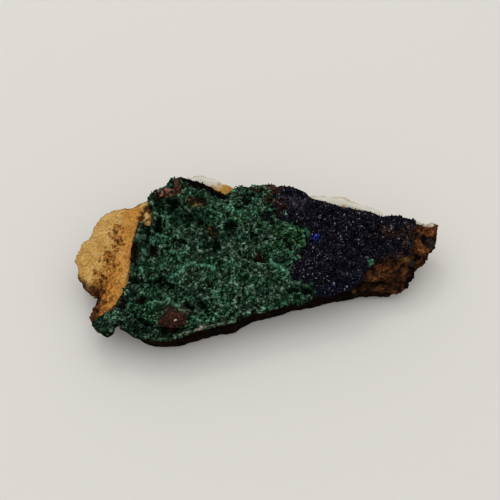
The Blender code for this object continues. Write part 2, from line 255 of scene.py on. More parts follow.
class Shade:
    """A new Principled material and the nodes that colour it."""

    def __init__(self, name, roughness, gloss):
        self.material = bpy.data.materials.new(name)
        self.material.use_nodes = True
        self.nodes = self.material.node_tree.nodes
        self.links = self.material.node_tree.links
        self.shader = self.nodes["Principled BSDF"]
        self.shader.inputs["Roughness"].default_value = roughness
        self.shader.inputs["Specular IOR Level"].default_value = gloss
        self.places = self.nodes.new("ShaderNodeTexCoord").outputs["Object"]

    def noise(self, size, detail=3.0, roughness=0.55):
        texture = self.nodes.new("ShaderNodeTexNoise")
        texture.inputs["Scale"].default_value = 1 / (size * MM)
        texture.inputs["Detail"].default_value = detail
        texture.inputs["Roughness"].default_value = roughness
        self.links.new(self.places, texture.inputs["Vector"])
        return texture.outputs["Fac"]

    def mask(self, name):
        attribute = self.nodes.new("ShaderNodeAttribute")
        attribute.attribute_name = name
        return attribute.outputs["Fac"]

    def ramp(self, value, stops):
        ramp = self.nodes.new("ShaderNodeValToRGB")
        points = ramp.color_ramp.elements
        while len(points) < len(stops):
            points.new(0.5)
        for point, (place, colour) in zip(points, stops):
            point.position = place
            point.color = (*colour, 1.0)
        self.links.new(value, ramp.inputs["Fac"])
        return ramp.outputs["Color"]

    def mix(self, share, first, second, way="MIX"):
        mixer = self.nodes.new("ShaderNodeMix")
        mixer.data_type = "RGBA"
        mixer.blend_type = way
        for value, socket in zip((share, first, second), (mixer.inputs[k] for k in COLOUR_MIX_INPUTS)):
            if isinstance(value, bpy.types.NodeSocket):
                self.links.new(value, socket)
            else:
                socket.default_value = value if isinstance(value, float) else (*value, 1.0)
        return mixer.outputs[COLOUR_MIX_OUTPUT]

    def reckon(self, way, *values):
        node = self.nodes.new("ShaderNodeMath")
        node.operation = way
        node.use_clamp = True
        for value, socket in zip(values, node.inputs):
            if isinstance(value, bpy.types.NodeSocket):
                self.links.new(value, socket)
            else:
                socket.default_value = value
        return node.outputs[0]

    def colour(self, value):
        self.links.new(value, self.shader.inputs["Base Color"])

    def roughness(self, value, low, high):
        spread = self.nodes.new("ShaderNodeMapRange")
        spread.inputs["To Min"].default_value = low
        spread.inputs["To Max"].default_value = high
        self.links.new(value, spread.inputs["Value"])
        self.links.new(spread.outputs["Result"], self.shader.inputs["Roughness"])

    def bump(self, height, depth):
        bump = self.nodes.new("ShaderNodeBump")
        bump.inputs["Strength"].default_value = 1.0
        bump.inputs["Distance"].default_value = depth * MM
        self.links.new(height, bump.inputs["Height"])
        self.links.new(bump.outputs["Normal"], self.shader.inputs["Normal"])


def sandstone_material():
    stone = Shade("sandstone", 0.85, 0.03)
    grain = stone.noise(0.40, 2.0)
    fleck = stone.noise(0.9, 3.0, 0.7)
    mottle = stone.noise(3.2, 4.0, 0.65)
    blotch = stone.noise(1.6, 4.0, 0.7)
    tan = stone.ramp(
        mottle, [(0.35, (0.41, 0.235, 0.062)), (0.50, (0.52, 0.31, 0.092)), (0.65, (0.59, 0.39, 0.135))]
    )
    orange = stone.ramp(mottle, [(0.38, (0.42, 0.175, 0.028)), (0.62, (0.55, 0.27, 0.058))])
    tan = stone.mix(stone.mask("orange"), tan, orange)
    tan = stone.mix(stone.mask("ochre"), tan, (0.42, 0.23, 0.055))
    rust = stone.ramp(
        fleck, [(0.36, (0.06, 0.018, 0.004)), (0.48, (0.21, 0.070, 0.012)), (0.62, (0.44, 0.19, 0.038))]
    )
    flecked = stone.reckon("MULTIPLY_ADD", stone.noise(1.3, 3.0, 0.7), 5.0, -1.5)
    tan = stone.mix(stone.reckon("MULTIPLY", stone.mask("rust"), flecked), tan, rust)
    brown = stone.ramp(
        blotch, [(0.38, (0.006, 0.003, 0.002)), (0.50, (0.026, 0.010, 0.005)), (0.64, (0.11, 0.038, 0.012))]
    )
    tan = stone.mix(stone.mask("brown"), tan, brown)
    umber = stone.ramp(
        fleck, [(0.36, (0.024, 0.008, 0.004)), (0.50, (0.105, 0.036, 0.011)), (0.64, (0.26, 0.098, 0.033))]
    )
    tan = stone.mix(stone.mask("umber"), tan, umber)
    tan = stone.mix(stone.mask("black"), tan, (0.0022, 0.0014, 0.001))
    speckle = stone.ramp(
        grain,
        [(0.30, (0.4, 0.32, 0.24)), (0.40, (0.78, 0.72, 0.64)), (0.52, (1, 1, 1)), (0.66, (1.2, 1.18, 1.14))],
    )
    tan = stone.mix(1.0, tan, speckle, "MULTIPLY")
    cream = stone.ramp(
        grain, [(0.32, (0.54, 0.51, 0.44)), (0.50, (0.63, 0.61, 0.53)), (0.66, (0.70, 0.69, 0.62))]
    )
    stone.colour(stone.mix(stone.mask("cream"), tan, cream))
    stone.roughness(mottle, 0.75, 0.95)
    stone.bump(grain, 0.12)
    return stone.material


def ironstone_material():
    iron = Shade("ironstone", 0.7, 0.08)
    veins = iron.noise(0.8, 3.0, 0.7)
    dark = iron.ramp(
        veins, [(0.40, (0.005, 0.003, 0.003)), (0.52, (0.016, 0.009, 0.009)), (0.66, (0.040, 0.025, 0.024))]
    )
    red = iron.ramp(
        veins,
        [(0.38, (0.006, 0.0024, 0.0018)), (0.52, (0.032, 0.0105, 0.0065)), (0.66, (0.115, 0.038, 0.021))],
    )
    pink = iron.ramp(veins, [(0.38, (0.10, 0.045, 0.028)), (0.60, (0.38, 0.21, 0.135))])
    colour = iron.mix(iron.mask("red"), dark, red)
    colour = iron.mix(iron.mask("pink"), colour, pink)
    # The pale mask paints a highlight: a glint spot on the knob.
    iron.colour(iron.mix(iron.mask("pale"), colour, (0.50, 0.42, 0.33)))
    iron.roughness(veins, 0.5, 0.8)
    iron.bump(veins, 0.2)
    return iron.material


def malachite_material(name, tufts, gloss=0.0):
    """Painted shade, deep green, in the hollows, and painted highlights, paler, on what stands up: the base's
    grain, or the tips of the tufts.
    """
    green = Shade(name, 0.65, gloss)
    drift = green.noise(7.0, 3.0)
    tips = green.ramp(
        drift, [(0.36, (0.33, 0.45, 0.35)), (0.50, (0.44, 0.54, 0.43)), (0.64, (0.26, 0.51, 0.34))]
    )
    tips = green.mix(green.mask("lime"), tips, (0.25, 0.52, 0.23))
    tips = green.mix(green.mask("bright"), tips, (0.33, 0.74, 0.52))
    tips = green.mix(green.mask("brown"), tips, (0.26, 0.12, 0.07))
    tips = green.mix(green.mask("ochre"), tips, (0.46, 0.26, 0.07))
    tips = green.mix(green.mask("pale"), tips, (0.62, 0.56, 0.44))
    tips = green.mix(green.mask("blue"), tips, (0.045, 0.045, 0.065))
    # The tip mask holds each strand's lustre and a painted highlight where it faces up. The grain mask holds
    # painted highlights on the grains' tops and painted shade between them. The lit mask is painted light and
    # shade.
    if tufts:
        spread = green.reckon("MULTIPLY_ADD", green.mask("shade"), 0.8, 0.25)
        glow = green.reckon("MULTIPLY", green.mask("tip"), spread)
    else:
        glow = green.mask("grain")
    glow = green.reckon("MULTIPLY", glow, green.mask("lit"))
    # A painted shade tint: the tips' colour, darker and greener, where little light is painted.
    low = green.mix(1.0, tips, (0.50, 0.90, 0.66), "MULTIPLY")
    # Painted shade: the colour where no light is painted, browner where the crust is brown.
    shaded_deep_green = green.mix(green.mask("brown"), (0.0006, 0.0026, 0.0011), (0.0060, 0.0028, 0.0018))
    green.colour(green.mix(glow, shaded_deep_green, green.mix(glow, low, tips)))
    green.bump(green.noise(0.2, 2.0), 0.1)
    green.roughness(drift, 0.5, 0.8)
    return green.material


def azurite_material(name, crystals, gloss=0.0):
    """Blue-black. Each crystal has a lightness of its own, and the lightest ones carry painted glints: pale
    specks painted into their colour.
    """
    blue = Shade(name, 0.4, gloss)
    blue.shader.inputs["Specular Tint"].default_value = (0.92, 0.94, 1.0, 1.0)
    drift = blue.noise(5.0, 3.0)
    body = blue.ramp(
        drift,
        [(0.35, (0.0066, 0.0054, 0.009)), (0.60, (0.0082, 0.0071, 0.0124)), (0.75, (0.0083, 0.0078, 0.0155))],
    )
    body = blue.mix(blue.mask("faint"), body, (0.0050, 0.0065, 0.0150))
    body = blue.mix(blue.mask("vivid"), body, (0.012, 0.024, 0.30))
    body = blue.mix(blue.mask("violet"), body, (0.031, 0.027, 0.037))
    body = blue.mix(blue.mask("green"), body, (0.03, 0.12, 0.07))
    body = blue.mix(blue.mask("rust"), body, (0.036, 0.018, 0.012))
    if crystals:
        shade = blue.mask("shade")
        # Painted highlights: the lightest crystals get pale glints, broken into small specks by noise and
        # added to their colour.
        painted_glint = blue.ramp(shade, [(0.0, (0, 0, 0)), (0.90, (0.006, 0.006, 0.007)), (1.0, (0.60, 0.58, 0.70))])
        painted_glint_specks = blue.ramp(blue.noise(0.20, 1.0), [(0.52, (0.02, 0.02, 0.02)), (0.61, (1, 1, 1))])
        painted_glint = blue.mix(1.0, painted_glint, painted_glint_specks, "MULTIPLY")
        depth = blue.ramp(shade, [(0.0, (0.03, 0.03, 0.03)), (0.5, (0.8, 0.8, 0.8)), (1.0, (3.4, 3.4, 3.4))])
        body = blue.mix(1.0, body, depth, "MULTIPLY")
        body = blue.mix(1.0, body, painted_glint, "ADD")
        blue.roughness(shade, 0.12, 0.62)
    blue.colour(body)
    return blue.material


# Sandstone. The lists of marks are strokes: x and y of a start, x and y of an end, and half a width.

ROCK_GRID = 0.4
# Each of these zones comes in between two values: of how far up the skin faces, or of x.
TOP_FACING = (0.5, 0.8)
BLOCK_EDGE = (-30, -36)
END_EDGE = (41, 46)
LOWER_FACE_EDGE = (27, 30)
BACK_SMOOTHING = 34
BACK_BOTTOM = 0.8
BACK_TOP = 10.5
BACK_RIGHT = 43
RUST_SPREAD = 1.4
CREASE_RUST = [
    (-42.1, 9.6, -43.3, 7.6, 1.0), (-42.6, 6.6, -41.6, 4.6, 1.1), (-42.6, 3.6, -42.4, 2.6, 0.8),
    (-44.3, 1.6, -44.9, -0.9, 1.4), (-43.2, -1.8, -42.6, -2.2, 0.8), (-45.2, -3.4, -46.0, -5.4, 1.6),
    (-44.0, -3.4, -44.4, -6.4, 1.5), (-46.0, -6.6, -46.4, -9.2, 1.5), (-46.2, -9.6, -45.0, -11.0, 1.3),
    (-47.2, -10.6, -47.8, -17.0, 1.8), (-45.4, -11.8, -46.0, -16.8, 1.9),
    (-44.0, -14.4, -43.2, -16.6, 1.0), (-43.4, 0.6, -44.2, -3.0, 0.7), (-42.0, 8.4, -42.6, 5.2, 0.8),
]
CREASE_BLACK = [
    (-46.6, -9.4, -45.4, -10.6, 0.5), (-46.0, -5.2, -45.2, -6.2, 0.45), (-47.6, -14.6, -46.6, -16.2, 0.5),
    (-42.2, 5.6, -41.8, 4.8, 0.35), (-45.0, 0.0, -44.8, -0.8, 0.35), (-47.0, -11.2, -46.4, -12.6, 0.5),
    (-45.6, -13.0, -45.4, -14.6, 0.4), (-46.4, -7.2, -46.6, -8.4, 0.45), (-43.6, 9.0, -42.8, 8.0, 0.3),
]
TONGUE_STAIN = [(-47.2, -11.0, -47.8, -16.6, 1.3), (-45.4, -12.4, -46.0, -16.4, 1.2)]
EDGE_LINE = [(-33.2, 16.4, -34.9, 13.8, 0.5), (-34.9, 13.8, -35.7, 10.2, 0.8)]
EDGE_PATCH = [(-33.4, 15.6, -32.9, 11.4, 1.7)]
CREAM_LEDGES = [(-24.0, 25.2, -13.4, 24.4, 1.9), (14.0, 19.1, 27.0, 17.7, 2.2), (27.0, 17.8, 38.0, 13.6, 1.9)]
CREAM_TIP = [(48.0, 11.4, 53.0, 11.2, 0.55)]
OCHRE_LEDGE = [(-11.8, 22.2, -8.6, 22.2, 1.2)]
ORANGE_BLOCK = [(-37.6, 13.0, -39.8, 1.0, 3.2), (-39.8, 1.0, -44.6, -18.0, 3.6)]
UMBER_END = [
    (49.6, 9.6, 54.6, 8.4, 1.5), (48.8, 8.4, 48.4, 3.4, 1.3), (49.2, 3.0, 50.0, 0.0, 1.4),
    (44.0, -2.2, 42.2, -3.0, 1.0),
]
UMBER_FACE = [(32.6, -5.6, 38.6, -5.2, 1.1), (37.6, -3.6, 41.6, -3.8, 0.8)]
BLACK_PATCHES = [
    (50.4, 6.4, 52.6, 4.6, 1.3), (46.2, -2.4, 45.4, -5.6, 1.2), (47.6, 0.4, 46.6, -0.6, 0.8),
    (47.2, 8.6, 47.0, 6.4, 0.6),
]
DIP_UNDER_CRUST = [(-37.8, -7.6, -33.0, -8.8, 1.8)]
SHOULDER_START = (-54.2, -2.2)
SHOULDER_END = (-47.4, -8.0)
SHOULDER_DROP = 2.2
FOOT_FORWARD = 0.9
SIDE_LUMP = [(-52.6, -4.6, -49.8, -7.4, 1.9)]
SIDE_PUSH = np.array([-0.8, -1.2])
LEDGE_PUSH = 0.4
LEDGE_LIFT = 0.7
CREVICE_START = 32.0
CREVICE_HEIGHT = 11.0
CREVICE_FALL = 0.19


def smooth_back(rock):
    """Softens the steps of the bedding on the stone's back."""
    normals = normals_of(rock.data)
    x, _, z = places_of(rock.data).T
    back = (normals[:, 1] > 0.1) & (normals[:, 2] < 0.7)
    smooth_out(rock, BACK_SMOOTHING, back & (z > BACK_BOTTOM) & (z < BACK_TOP) & (x < BACK_RIGHT))


class RockSkin:
    """The zones of the stone's skin, and the relief, the stains and the painted shade in them, worked out
    vertex by vertex.

    The zones are the block on the left, the broken end on the right, the lower face in front of that end, the
    back, and the shoulder that is broken off the block's left corner.
    """

    def __init__(self, mesh, crust_trees):
        self.mesh = mesh
        self.places, self.normals = places_of(mesh), normals_of(mesh)
        places = self.places
        x, y, z = places.T
        self.up = self.normals[:, 2]
        self.top = smoothstep(*TOP_FACING, self.up)
        self.side = 1 - self.top
        self.back = smoothstep(0.1, 0.4, self.normals[:, 1]) * self.side
        self.block = smoothstep(*BLOCK_EDGE, x)
        self.end = smoothstep(*END_EDGE, x)
        self.lower_face = smoothstep(*LOWER_FACE_EDGE, x) * smoothstep(1.0, -1.5, y)
        gaps = [distance_to(tree, places) for tree in crust_trees]
        self.crust_gap = np.minimum(*gaps)
        # The seam is rock that shows between the two crusts, painted black as shade.
        self.shaded_seam = smoothstep(3.2, 1.6, sum(gaps))
        self.above_crevice = z - CREVICE_HEIGHT + CREVICE_FALL * (x - CREVICE_START)
        self.above_crevice += 0.8 * cloud(places, 4.0, 21)
        self.crevice = smoothstep(0.9, 0.3, np.abs(self.above_crevice)) * smoothstep(43, 38, x)
        self.crevice *= self.lower_face
        self.cracks = ridges(places * (0.6, 0.8, 1.0), 2.6, 27) ** 2 * np.maximum(self.end, self.lower_face)
        self.shoulder = smoothstep(-0.2, 0.9, self.past_shoulder_line()) * smoothstep(-46.0, -47.5, x)
        self.cream = self.cream_cover()

    def past_shoulder_line(self):
        """How far each place lies outside the line along which the shoulder broke."""
        x, y, _ = self.places.T
        run = np.subtract(SHOULDER_END, SHOULDER_START)
        past = (x - SHOULDER_START[0]) * run[1] - (y - SHOULDER_START[1]) * run[0]
        return past / math.hypot(*run) + 0.8 * cloud(self.places, 2.0, 26)

    def cream_cover(self):
        """The cream stone of the ledges, which fades to tan along their back edge and some way down."""
        places = self.places
        x, _, z = places.T
        cream = np.maximum(strokes(places, CREAM_LEDGES, 0.3, 12), strokes(places, CREAM_TIP, 0.3, 19))
        cream *= smoothstep(6.5, 9.0, z + 0.07 * np.maximum(x - 20, 0) + 5 * cloud(places, 3.0, 34))
        edge = smoothstep(0.2, 0.35, self.up) * smoothstep(0.85, 0.65, self.up)
        return cream * (1 - 0.5 * edge * smoothstep(0.2, 0.5, self.normals[:, 1]))

    def relief(self):
        """How far each place moves out: swells, bedding, facets and crumbs, less creases, pits and cracks."""
        places, top, side, back = self.places, self.top, self.side, self.back
        x, y, _ = places.T
        block_top = self.block * top
        swell = (0.5 - 0.3 * block_top) * cloud(places, 6.0, 1)
        swell += 0.4 * cloud(places, 2.4, 2) * (1 - 0.6 * block_top)
        swell += (0.16 + 0.16 * self.end + 0.1 * side) * cloud(places, 1.0, 3)
        bedding = swirl(places, 1.2, 9.0, 29) * (0.3, 0.5, 1.6)
        strata = np.abs(cloud(bedding, 3.0, 4)) * side * patches(places, 7.0, 32, -0.25, 0.2)
        strata *= 1 - 0.75 * back
        facets = 0.9 * cells(places * (0.7, 1.0, 1.0), 5.0, 33) + 0.35 * cells(places, 2.2, 36)
        facets *= back * (1 - 0.8 * self.block)
        crumbs = cells(places, 1.6, 5) * np.maximum(side, self.end) * 0.35 * (1 - 0.6 * self.block)
        calm_front = smoothstep(-4, -7, y - 0.1 * x) * smoothstep(30, 26, x) * smoothstep(-40, -36, x) * side
        swell, strata, crumbs = (part * (1 - 0.6 * calm_front) for part in (swell, strata, crumbs))
        crease = strokes(places, CREASE_RUST, 0.6, 6) * top
        pit = strokes(places, CREASE_BLACK + EDGE_LINE, 0.4, 7, 0.8) * top
        push = swell - 0.8 * strata + facets + crumbs - 0.3 - 0.25 * crease - 0.35 * pit
        push -= 0.3 * back * (1 - self.block) * (1 - self.end) + 0.7 * self.crevice + 0.3 * self.cracks
        push -= 0.7 * strokes(places, DIP_UNDER_CRUST, 0.2, 42, 3.0) * smoothstep(1.8, 0.8, self.crust_gap)
        push += (0.4 * cells(places, 1.3, 16) - 0.2) * strokes(places, EDGE_PATCH, 0.3, 11) * top
        return push

    def shape(self):
        """Moves the skin by its relief, and the ledges, the lump, the foot and the shoulder as a whole."""
        places = self.places
        x, y, z = places.T
        moved = places + self.normals * self.relief()[:, None]
        ledge = strokes(places, CREAM_LEDGES, 0.2, 12, 3.0) * smoothstep(8, 11, z)
        lump = strokes(places, SIDE_LUMP, 0.2, 28, 3.0) * smoothstep(1.0, 4.0, z)
        foot = smoothstep(-2, -14, y) * smoothstep(13, 4, z) * smoothstep(-40, -36, x) * smoothstep(10, -3, x)
        away_from_crust = 1 - smoothstep(2.0, 0.4, self.crust_gap)
        moved[:, :2] += lump[:, None] * SIDE_PUSH
        moved[:, 1] += LEDGE_PUSH * ledge
        moved[:, 2] += LEDGE_LIFT * ledge * smoothstep(0.2, 0.5, self.up)
        moved[:, 1] -= FOOT_FORWARD * foot
        moved[:, 2] -= SHOULDER_DROP * self.shoulder * smoothstep(6, 11, z) * away_from_crust
        moved[:, 2] = np.maximum(moved[:, 2], 0)
        put_places(self.mesh, moved)

    def paint_rust(self):
        """Rust in the crease and beside the crusts, the block's orange, the ochre ledge and the cream."""
        places = self.places
        stain = [(*mark[:4], RUST_SPREAD * mark[4]) for mark in CREASE_RUST]
        rust = smoothstep(0.0, 0.7, strokes(places, stain, 0.8, 6, 0.9))
        freckles = patches(places, 1.0, 10, 0.2, 0.36) * strokes(places, ORANGE_BLOCK, 0.5, 11, 4.0) * 0.6
        rim = smoothstep(1.1, 0.3, self.crust_gap + 0.8 * cloud(places, 1.5, 17))
        paint(self.mesh, "rust", np.maximum.reduce([rust, freckles, rim]) * self.top * (1 - self.cream))
        paint(self.mesh, "orange", strokes(places, ORANGE_BLOCK, 0.4, 11, 4.0) * 0.85)
        paint(self.mesh, "ochre", strokes(places, OCHRE_LEDGE, 0.3, 13))
        paint(self.mesh, "cream", self.cream)

    def paint_umber(self):
        """Umber on the broken end, the shoulder and the tongue, below the crevice, and in spots elsewhere."""
        places, top = self.places, self.top
        x, _, z = places.T
        end = np.maximum(strokes(places, UMBER_END, 0.5, 18), 0.5 * strokes(places, UMBER_FACE, 0.8, 20))
        end = np.maximum(end, 0.75 * self.shoulder * smoothstep(3.5, 6.5, z))
        below_crevice = smoothstep(1.0, 2.0, -self.above_crevice) * smoothstep(4.0, 5.5, z) * 0.35
        strip = self.lower_face * smoothstep(32, 36, x) * below_crevice
        broken = patches(places, 1.6, 25, -0.3, 0.05)
        patch = strokes(places, EDGE_PATCH, 0.4, 8) * (0.55 + 0.45 * patches(places, 1.2, 24, -0.2, 0.1))
        patch *= patches(places, 0.9, 41, -0.1, 0.12) * top
        spots = np.maximum(patch, 0.5 * self.back * patches(places, 6.0, 35, 0.02, 0.3)) * (1 - self.cream)
        tongue = strokes(places, TONGUE_STAIN, 0.9, 37, 1.0) * patches(places, 1.0, 38, -0.15, 0.1) * top
        paint(self.mesh, "umber", np.maximum.reduce([end * broken, strip * broken, spots, 0.7 * tongue]))

    def paint_dark(self):
        """Brown on the broken faces, and as painted shade on the front, on faces that look down and along the
        block's back edge. Black as painted shade on the front wall, its foot, the crevice, the creases, the
        cracks and the gaps by the crusts, and in dark smears and spots.
        """
        places, top, side, block = self.places, self.top, self.side, self.block
        x, y, z = places.T
        # Painted shade: faces that look down are painted brown.
        underside_shade = smoothstep(0.1, -0.4, self.up) * 0.6
        block_side = smoothstep(-38, -45, x) * side * smoothstep(13.6, 12.2, z) * smoothstep(2, -1, y)
        covered = smoothstep(-37, -34, x) * smoothstep(30, 28, x) * smoothstep(13.5, 12.5, z)
        front = np.maximum(side, covered) * smoothstep(-3, -6, y - 0.1 * x)
        # Painted shadow: a brown line along the block's back edge.
        back_edge_shadow = block * smoothstep(0.85, 0.6, self.up) * smoothstep(0.1, 0.35, self.normals[:, 1]) * 0.7
        end = self.end * (1 - 0.6 * self.back)
        # Brown on the end, the lower face, the block's side and the shoulder. Painted shade in brown on faces
        # that look down, on the front and along the block's back edge.
        brown = np.maximum.reduce([end, self.lower_face, block_side, underside_shade, front, self.shoulder, back_edge_shadow])
        brown *= np.clip(1.15 + 0.5 * cloud(places, 2.0, 14), 0, 1)
        paint(self.mesh, "brown", brown * (1 - self.cream))

        smears = np.maximum(self.lower_face, block_side * (1 - self.shoulder)) * 0.6
        smears *= patches(places, 2.6, 15, 0.12, 0.3)
        # Painted shade: the front wall under the crust and the foot of the lower face are painted near-black.
        front_wall = front * smoothstep(40, 28, x) * 0.92
        foot = self.lower_face * smoothstep(5.0, 3.0, z) * 0.9
        spots = strokes(places, BLACK_PATCHES, 0.6, 22) * (1 - self.back)
        # Painted shade in the creases, and a black line along the crust's edge.
        crease = 0.7 * strokes(places, CREASE_BLACK, 0.5, 7, 0.8) * top
        line = 0.9 * strokes(places, EDGE_LINE, 0.4, 40, 0.8) * top
        # Black along the crusts' edge on the block: partly painted shade from the crust's step, partly dark
        # stain.
        border = smoothstep(1.5, 0.7, self.crust_gap) * block * top * 0.85
        border *= patches(places, 1.4, 39, -0.15, 0.1)
        # Painted shade in the crevice, in the seam between the crusts and in the cracks.
        gaps = [self.crevice, self.shaded_seam, 0.85 * self.cracks]
        black = np.maximum.reduce([smears, front_wall, foot, spots, crease, line, border, *gaps])
        paint(self.mesh, "black", black * (1 - 0.9 * self.cream))


def make_rock(crust_trees):
    rock = fine_copy("host_rock", "rock", ROCK_GRID)
    smooth_back(rock)
    skin = RockSkin(rock.data, crust_trees)
    skin.shape()
    skin.paint_rust()
    skin.paint_umber()
    skin.paint_dark()
    hand_over(rock, sandstone_material(), "host_rock")


# Shapes that are scattered over the crusts

# How many points are tried in a square as wide as their spacing, and what each draw adds to the seed.
POINTS_TRIED = 3.5
SCATTER_SEEDS = {"turn": 1, "pick": 2, "scale": 3, "shade": 4}


def shape_of(name, build):
    shape = bmesh.new()
    build(shape)
    mesh = bpy.data.meshes.new(name)
    bmesh.ops.recalc_face_normals(shape, faces=shape.faces)
    shape.to_mesh(mesh)
    shape.free()
    return new_piece(name, mesh)


def tuft(seed, strands, thick, curl, lustre):
    """Strands that rise from one foot and curl over, about 1 mm long. Some are paler than others, and each
    has a painted highlight at its tip where it faces up.

    The curl is the radius that they bend on, and the lustre is how bright the brightest is.
    """
    draw = random.Random(seed)
    glow = []

    def build(shape):
        for number in range(strands):
            made = bmesh.ops.create_circle(shape, cap_ends=True, segments=4, radius=thick)
            ring = made["verts"]
            faces = {face for corner in ring for face in corner.link_faces}
            edges = {edge for corner in ring for edge in corner.link_edges}
            before = set(shape.verts) - set(ring)
            sweep = draw.uniform(0.75, 1.15) / curl
            bmesh.ops.spin(
                shape, geom=[*ring, *edges, *faces], cent=(curl, 0, 0), axis=(0, 1, 0), angle=sweep, steps=3
            )
            corners = [corner for corner in shape.verts if corner not in before]
            for corner in corners:
                along = math.atan2(corner.co.z, curl - corner.co.x)
                middle = Vector((curl - curl * math.cos(along), 0, curl * math.sin(along)))
                corner.co = middle + (corner.co - middle) * (1 - 0.35 * along / sweep)
            around = 2 * math.pi * (number / strands + 0.15 * draw.random())
            tilt = draw.uniform(0.1, 0.6)
            place = Matrix.Rotation(around, 4, "Z") @ Matrix.Rotation(tilt, 4, "Y")
            bmesh.ops.transform(shape, matrix=place, verts=corners)
            glow.extend([lustre * draw.uniform(0.2, 1.0)] * len(corners))
        bmesh.ops.scale(shape, vec=(MM, MM, MM), verts=shape.verts)

    piece = shape_of(f"tuft_{seed}", build)
    reach = np.linalg.norm(places_of(piece.data), axis=1)
    facing = smoothstep(-0.1, 0.75, normals_of(piece.data)[:, 2])
    # Painted highlight: paler towards the tips and where the strands face up, times each strand's lustre.
    paint(piece.data, "tip", smoothstep(0.2, 0.75, reach) * facing * np.array(glow))
    return piece


def nub(seed, lumps, lustre):
    """A knobbly crumb about 1 mm across, with a painted highlight that makes it paler on top than around its
    foot.
    """
    draw = random.Random(seed)
    glow = []

    def build(shape):
        for number in range(lumps):
            size = draw.uniform(0.26, 0.40)
            made = bmesh.ops.create_icosphere(shape, subdivisions=1, radius=size)
            for corner in made["verts"]:
                corner.co *= draw.uniform(0.8, 1.15)
            around = 2 * math.pi * (number / lumps + 0.2 * draw.random())
            away = (0.3 * math.cos(around), 0.3 * math.sin(around), draw.uniform(0.1, 0.45))
            bmesh.ops.translate(shape, vec=away, verts=made["verts"])
            glow.extend([lustre * draw.uniform(0.3, 1.0)] * len(made["verts"]))
        bmesh.ops.scale(shape, vec=(MM, MM, MM), verts=shape.verts)

    piece = shape_of(f"nub_{seed}", build)
    facing = smoothstep(0.15, 0.9, normals_of(piece.data)[:, 2])
    # Painted highlight: paler where the lumps face up, times each lump's lustre.
    paint(piece.data, "tip", facing * np.array(glow))
    return piece


def crystal(seed, width, thickness, wedge):
    """A blocky crystal, 1 mm tall, whose end is cut to a sloping wedge."""
    draw = random.Random(seed)

    def build(shape):
        made = bmesh.ops.create_cone(
            shape, cap_ends=True, segments=6, radius1=0.5 * width, radius2=0.46 * width, depth=1.0
        )
        bmesh.ops.scale(shape, vec=(1.0, thickness, 1.0), verts=made["verts"])
        for corner in made["verts"]:
            if corner.co.z > 0:
                corner.co.y *= wedge
                corner.co.z -= 0.35 * abs(corner.co.x) / width + draw.uniform(0, 0.1)
        bmesh.ops.translate(shape, vec=(0, 0, 0.3), verts=shape.verts)
        bmesh.ops.scale(shape, vec=(MM, MM, MM), verts=shape.verts)

    return shape_of(f"crystal_{seed}", build)


def scatter(name, ground, shapes, spacing, low, high, lean, cover, seed):
    """The shapes, set at least the spacing apart over the ground where its cover mask is high, as one mesh.

    They are scaled between low and high, and leaned at most this far, in radians, from the ground's normal.
    """
    piece = new_piece(name, ground.data.copy())
    tree = bpy.data.node_groups.new(name, "GeometryNodeTree")
    tree.interface.new_socket("Geometry", in_out="INPUT", socket_type="NodeSocketGeometry")
    tree.interface.new_socket("Geometry", in_out="OUTPUT", socket_type="NodeSocketGeometry")
    add, link = tree.nodes.new, tree.links.new
    given, result = add("NodeGroupInput"), add("NodeGroupOutput")

    points = add("GeometryNodeDistributePointsOnFaces")
    points.distribute_method = "POISSON"
    points.inputs["Distance Min"].default_value = spacing * MM
    points.inputs["Density Max"].default_value = POINTS_TRIED / (spacing * MM) ** 2
    points.inputs["Seed"].default_value = seed
    mask = add("GeometryNodeInputNamedAttribute")
    mask.inputs["Name"].default_value = cover
    link(given.outputs[0], points.inputs["Mesh"])
    link(mask.outputs["Attribute"], points.inputs["Density Factor"])

    choices = add("GeometryNodeGeometryToInstance")
    for shape in shapes:
        source = add("GeometryNodeObjectInfo")
        source.inputs["Object"].default_value = shape
        link(source.outputs["Geometry"], choices.inputs[0])

    def chance(kind, least, most, purpose):
        node = add("FunctionNodeRandomValue")
        node.data_type = kind
        start, stop = [socket for socket in node.inputs if socket.enabled][:2]
        start.default_value = least
        stop.default_value = most
        node.inputs["Seed"].default_value = seed + SCATTER_SEEDS[purpose]
        return next(socket for socket in node.outputs if socket.enabled)

    turn = add("FunctionNodeEulerToRotation")
    link(chance("FLOAT_VECTOR", (-lean, -lean, -math.pi), (lean, lean, math.pi), "turn"), turn.inputs[0])
    rotate = add("FunctionNodeRotateRotation")
    rotate.rotation_space = "LOCAL"
    link(points.outputs["Rotation"], rotate.inputs[0])
    link(turn.outputs[0], rotate.inputs[1])

    stand = add("GeometryNodeInstanceOnPoints")
    stand.inputs["Pick Instance"].default_value = True
    link(points.outputs["Points"], stand.inputs["Points"])
    link(choices.outputs[0], stand.inputs["Instance"])
    link(chance("INT", 0, len(shapes) - 1, "pick"), stand.inputs["Instance Index"])
    link(rotate.outputs[0], stand.inputs["Rotation"])
    link(chance("FLOAT", low, high, "scale"), stand.inputs["Scale"])

    shade = add("GeometryNodeStoreNamedAttribute")
    shade.domain = "INSTANCE"
    shade.inputs["Name"].default_value = "shade"
    link(stand.outputs[0], shade.inputs["Geometry"])
    link(chance("FLOAT", 0.0, 1.0, "shade"), shade.inputs["Value"])
    real = add("GeometryNodeRealizeInstances")
    link(shade.outputs[0], real.inputs[0])
    link(real.outputs[0], result.inputs[0])

    piece.modifiers.new("scatter", "NODES").node_group = tree
    bake_modifiers(piece)
    bpy.data.node_groups.remove(tree)
    return piece


def put_away(shapes):
    for shape in shapes:
        bpy.data.objects.remove(shape)


# Malachite

